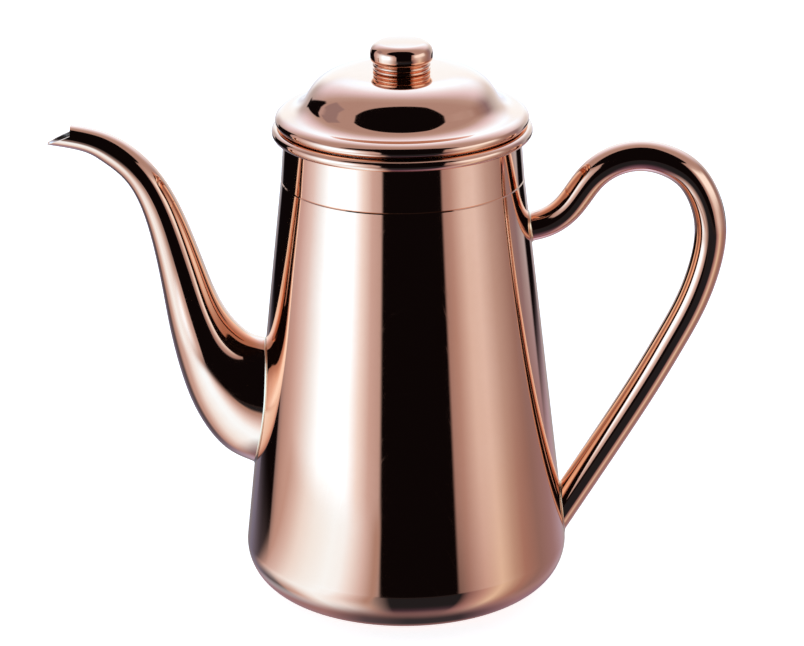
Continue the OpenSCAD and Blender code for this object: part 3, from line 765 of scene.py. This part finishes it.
def tent():
    """A round light tent. Its inside glows by direction: a soft box on each side, a lit ceiling that ends
    just in front of the pot, a pale backdrop that runs down behind the table, and a dark gap for the camera."""
    t = Tree("tent_light")
    co = t.node("ShaderNodeTexCoord").outputs["Object"]
    sep = t.node("ShaderNodeSeparateXYZ")
    unit = t.node("ShaderNodeVectorMath", operation="NORMALIZE")
    t.put(unit.inputs[0], co)
    t.put(sep.inputs[0], unit.outputs[0])
    x, y, z = sep.outputs
    deg = 180 / math.pi
    az = t.math("MULTIPLY", t.math("ARCTAN2", x, t.math("MULTIPLY", y, -1.0)), deg)
    zen = t.math("MULTIPLY", t.math("ARCCOSINE", z), deg)
    p = t.math("ADD", t.math("DIVIDE", az, 360.0), 0.5)

    def by_az(stops):
        return t.ramp(p, [((a + 180) / 360, c) for a, c in stops])

    def between(v, a0, a1, b1, b0):
        return t.math("MULTIPLY", t.span(v, a0, a1), t.span(v, b0, b1))

    def angle_from(azimuth, zenith):
        """How far each direction lies from one direction, in degrees."""
        a, b = math.radians(azimuth), math.radians(zenith)
        d = t.node("ShaderNodeVectorMath", operation="DOT_PRODUCT")
        t.put(d.inputs[0], unit.outputs[0])
        d.inputs[1].default_value = (math.sin(b) * math.sin(a), -math.sin(b) * math.cos(a), math.cos(b))
        return t.math("MULTIPLY", t.math("ARCCOSINE", d.outputs["Value"]), deg)

    black, dim = (0.004, 0.003, 0.004), lit(0.016, 0.012, 0.012)
    # the ceiling is plain and dim, and brightens towards the lit backdrop
    away = t.math("DIVIDE", angle_from(174, 66), 100.0)
    c = t.ramp(away, [(0.10, lit(1.0, 0.96, 0.94)), (0.20, lit(0.94, 0.82, 0.79)), (0.30, lit(0.84, 0.64, 0.61)), (0.38, lit(0.75, 0.51, 0.49)),
                      (0.46, lit(0.61, 0.39, 0.35)), (0.55, lit(0.48, 0.275, 0.21)), (0.66, lit(0.42, 0.22, 0.165))])
    # the belt: a soft box on each side, and the backdrop between them
    belt = by_az([(-180, (0.95, 1.15, 1.35)), (-166, (0.75, 0.85, 1.0)), (-150, (0.52, 0.58, 0.68)), (-122, lit(0.42, 0.23, 0.19)),
                  (-105, lit(0.58, 0.32, 0.26)), (-92, lit(0.75, 0.52, 0.45)), (-80, lit(0.92, 0.84, 0.80)), (-70, lit(1.1, 1.1, 1.1)),
                  (-46, lit(1.1, 1.1, 1.1)), (-37, lit(0.88, 0.66, 0.57)), (-28, lit(0.60, 0.35, 0.28)), (-20, lit(0.50, 0.28, 0.22)),
                  (35, lit(0.34, 0.16, 0.12)), (44, lit(0.45, 0.22, 0.16)), (57, lit(0.71, 0.44, 0.34)), (68, lit(0.74, 0.47, 0.37)),
                  (84, lit(0.50, 0.28, 0.21)), (104, lit(0.32, 0.15, 0.11)), (122, lit(0.26, 0.14, 0.13)), (136, lit(0.50, 0.36, 0.30)),
                  (150, (0.75, 0.9, 1.05)), (166, (0.9, 1.05, 1.25)), (180, (0.95, 1.15, 1.35))])
    # the left box has a soft upper edge; the right one is widest and brightest at its top
    top = t.math("ADD", t.span(az, -20, 20, 58, 51), t.span(az, 110, 165, 0, 7))
    c = t.mix(t.span(zen, top, t.math("ADD", top, 24.0)), c, belt)
    lamp = t.math("MULTIPLY", between(az, 40, 56, 84, 100), between(zen, 61, 70, 80, 97))
    c = t.mix(lamp, c, lit(1.0, 0.74, 0.60))
    # the backdrop is brightest in its middle, above the table
    bright = t.math("MULTIPLY", t.span(t.math("ABSOLUTE", az), 152, 167), between(zen, 62, 72, 84, 96))
    c = t.mix(bright, c, (1.04, 1.42, 1.75))
    # below the belt: the boxes reach down to the table, and the far side is in shade
    low = by_az([(-180, (0.30, 0.30, 0.31)), (-166, (0.27, 0.26, 0.27)), (-150, lit(0.18, 0.12, 0.13)), (-130, lit(0.08, 0.05, 0.05)),
                 (-119, lit(0.12, 0.07, 0.06)), (-111, lit(0.44, 0.22, 0.16)), (-98, lit(0.60, 0.34, 0.26)), (-86, lit(0.82, 0.63, 0.55)),
                 (-74, lit(0.94, 0.86, 0.80)), (-52, lit(0.88, 0.72, 0.65)), (-30, lit(0.50, 0.28, 0.21)), (-20, lit(0.20, 0.12, 0.10)), (-13, dim),
                 (38, dim), (45, lit(0.26, 0.11, 0.09)), (56, lit(0.50, 0.24, 0.18)), (70, lit(0.75, 0.46, 0.30)), (82, lit(0.50, 0.26, 0.17)),
                 (92, lit(0.38, 0.16, 0.11)), (110, lit(0.28, 0.13, 0.10)), (130, lit(0.32, 0.15, 0.13)), (150, lit(0.42, 0.22, 0.20)),
                 (166, (0.42, 0.40, 0.40)), (180, (0.40, 0.38, 0.38))])
    c = t.mix(t.span(zen, 101, 108), c, low)
    # straight down: the table, in the shade of the pot in front and pale behind
    table = by_az([(-180, lit(0.85, 0.60, 0.68)), (-140, lit(0.55, 0.34, 0.38)), (-104, lit(0.22, 0.10, 0.11)), (-60, lit(0.14, 0.05, 0.06)),
                   (0, lit(0.16, 0.06, 0.08)), (60, lit(0.26, 0.11, 0.13)), (104, lit(0.40, 0.18, 0.21)), (140, lit(0.70, 0.42, 0.50)),
                   (180, lit(0.85, 0.60, 0.68))])
    c = t.mix(t.span(zen, 130, 170), c, table)
    # far corners, dark at the edge of the table
    far = t.math("MULTIPLY", between(t.math("ABSOLUTE", az), 136, 141, 153, 161), between(zen, 96, 101, 106, 110))
    c = t.mix(far, c, black)
    # a flag and a card to the left of the backdrop
    slope = t.math("SUBTRACT", zen, t.span(az, -140, -122, 82, 62, kind="LINEAR"))
    flag = t.math("MULTIPLY", between(az, -145, -143, -118, -115.5), t.math("MULTIPLY", t.span(slope, -2, 2), t.span(zen, 112, 108)))
    c = t.mix(flag, c, black)
    card = t.math("MULTIPLY", between(az, -113, -111, -90, -86), between(zen, 48, 51, 67, 71))
    c = t.mix(card, c, lit(0.30, 0.16, 0.135))
    # the gap for the camera, wide under the front edge of the ceiling and narrow between the boxes
    left = t.math("ADD", t.span(zen, 53, 61, -65, -26), t.span(zen, 61, 78, 0, 7))
    right_ = t.math("SUBTRACT", t.span(zen, 53, 61, 57.5, 39), t.span(zen, 61, 85, 0, 3))
    side = t.math("MULTIPLY", t.span(t.math("SUBTRACT", az, left), -1.5, 1.5), t.span(t.math("SUBTRACT", right_, az), -1.5, 1.5))
    edge = t.math("ADD", t.math("ADD", y, 0.172), t.math("MULTIPLY", t.math("MULTIPLY", x, x), 0.3))
    gap = t.math("MULTIPLY", t.math("MULTIPLY", side, t.span(edge, 0.015, -0.015)), t.span(zen, 109, 105))
    c = t.mix(gap, c, black)
    em = t.node("ShaderNodeEmission")
    t.put(em.inputs[0], c)
    out = t.node("ShaderNodeOutputMaterial")
    t.put(out.inputs[0], em.outputs[0])

    import bmesh

    me = bpy.data.meshes.new("light_tent")
    bm = bmesh.new()
    bmesh.ops.create_uvsphere(bm, u_segments=96, v_segments=64, radius=3.0)
    bmesh.ops.reverse_faces(bm, faces=bm.faces)
    bm.to_mesh(me)
    bm.free()
    me.materials.append(t.mat)
    ob = bpy.data.objects.new("light_tent", me)
    ob.location = (0, 0, 0.10)
    bpy.context.scene.collection.objects.link(ob)
    ob.visible_camera = False
    ob.visible_shadow = False


def flat_disc(name, r, z, mat, n=96, hole=0.0):
    me = bpy.data.meshes.new(name)
    v = [(r * math.cos(TAU * i / n), r * math.sin(TAU * i / n), z) for i in range(n)]
    me.from_pydata(v, [], [list(range(n))])
    me.materials.append(mat)
    ob = bpy.data.objects.new(name, me)
    bpy.context.scene.collection.objects.link(ob)
    return ob


def floor_mat(name, tone, glow):
    t = Tree(name)
    co = t.node("ShaderNodeTexCoord").outputs["Object"]
    n = t.noise(co, 60.0, 3.0)
    d = t.node("ShaderNodeBsdfDiffuse")
    t.put(d.inputs[0], t.mix(n, tuple(0.985 * k for k in tone), tone))
    e = t.node("ShaderNodeEmission")
    t.put(e.inputs[0], (*glow, 1))
    s = t.node("ShaderNodeAddShader")
    t.put(s.inputs[0], d.outputs[0])
    t.put(s.inputs[1], e.outputs[0])
    out = t.node("ShaderNodeOutputMaterial")
    t.put(out.inputs[0], s.outputs[0])
    return t.mat


def table_glow():
    """What polished metal sees of the table close by: a white card to the left, and the shade where the pot stands."""
    t = Tree("table_glow")
    co = t.node("ShaderNodeTexCoord").outputs["Object"]
    sep = t.node("ShaderNodeSeparateXYZ")
    t.put(sep.inputs[0], t.mapped(co, (1000, 1000, 1000)))
    x, y, z = sep.outputs
    r = t.math("SQRT", t.math("ADD", t.math("MULTIPLY", x, x), t.math("MULTIPLY", y, y)))
    turn_ = t.math("DIVIDE", t.math("MULTIPLY", t.math("ARCTAN2", x, t.math("MULTIPLY", y, -1.0)), 180 / math.pi), 360.0)
    # the card, brightest in its middle, and its soft ends
    tone = t.ramp(t.math("ADD", turn_, 0.5), [((a + 180) / 360, c) for a, c in (
        (-90, lit(0.53, 0.28, 0.21)), (-81, lit(0.70, 0.46, 0.38)), (-72, lit(0.86, 0.69, 0.61)), (-62, lit(0.92, 0.83, 0.77)),
        (-48, lit(0.96, 0.93, 0.90)), (-40, lit(0.95, 0.89, 0.85)), (-34, lit(0.87, 0.70, 0.63)), (-27, lit(0.68, 0.44, 0.37)),
        (-20, lit(0.42, 0.21, 0.15)))])
    turn_deg = t.math("MULTIPLY", turn_, 360.0)
    card = t.math("MULTIPLY", t.math("MULTIPLY", t.span(turn_deg, -15.5, -18.5), t.span(turn_deg, -100, -86)),
                  t.math("MULTIPLY", t.span(r, 64, 90), t.span(r, 335, 240)))
    shade = t.ramp(t.math("ADD", turn_, 0.5), [((a + 180) / 360, c) for a, c in (
        (-180, lit(0.32, 0.14, 0.12)), (-36, lit(0.32, 0.14, 0.12)), (-18, lit(0.09, 0.05, 0.05)), (0, lit(0.035, 0.025, 0.025)),
        (22, lit(0.04, 0.025, 0.025)), (36, lit(0.18, 0.08, 0.08)), (50, lit(0.30, 0.13, 0.12)), (180, lit(0.32, 0.14, 0.12)))])
    shade = t.mix(t.span(r, 49, 53), lit(0.30, 0.12, 0.09), shade)
    near = t.span(r, 68, 56)
    em = t.node("ShaderNodeEmission")
    t.put(em.inputs[0], t.mix(near, tone, shade))
    clear = t.node("ShaderNodeBsdfTransparent")
    m = t.node("ShaderNodeMixShader")
    t.put(m.inputs[0], t.math("MAXIMUM", card, near))
    t.put(m.inputs[1], clear.outputs[0])
    t.put(m.inputs[2], em.outputs[0])
    out = t.node("ShaderNodeOutputMaterial")
    t.put(out.inputs[0], m.outputs[0])
    ob = flat_disc("table_glow", 0.34, -0.0003, t.mat)
    ob.visible_camera = ob.visible_diffuse = ob.visible_shadow = False


tent()
table_glow()
floor = flat_disc("floor", 6.0, -0.0006, floor_mat("floor_pale", (0.85, 0.85, 0.85), (0.82, 0.82, 0.82)))
floor.visible_glossy = False

world = bpy.data.worlds.new("studio")
world.use_nodes = True
world.node_tree.nodes["Background"].inputs[0].default_value = (1, 1, 1, 1)
world.node_tree.nodes["Background"].inputs[1].default_value = 1.0
bpy.context.scene.world = world
bpy.context.scene.view_settings.view_transform = "Standard"

# ------------------------------------------------------------------ camera
el = math.radians(20.3)
target = Vector((-0.000807, 0.0, 0.0995))
back = Vector((0.0, -math.cos(el), math.sin(el)))
cam_data = bpy.data.cameras.new("camera")
cam_data.lens = 147.21
cam_data.sensor_width = 36.0
cam_data.clip_start = 0.01
cam = bpy.data.objects.new("camera", cam_data)
bpy.context.scene.collection.objects.link(cam)
cam.location = target + 1.2 * back
quat = (-back).to_track_quat("-Z", "Y")
roll = Vector((0, 0, 1))
from mathutils import Quaternion

cam.rotation_mode = "QUATERNION"
cam.rotation_quaternion = quat @ Quaternion((0, 0, 1), math.radians(-0.592))
bpy.context.scene.camera = cam

bpy.context.view_layer.update()
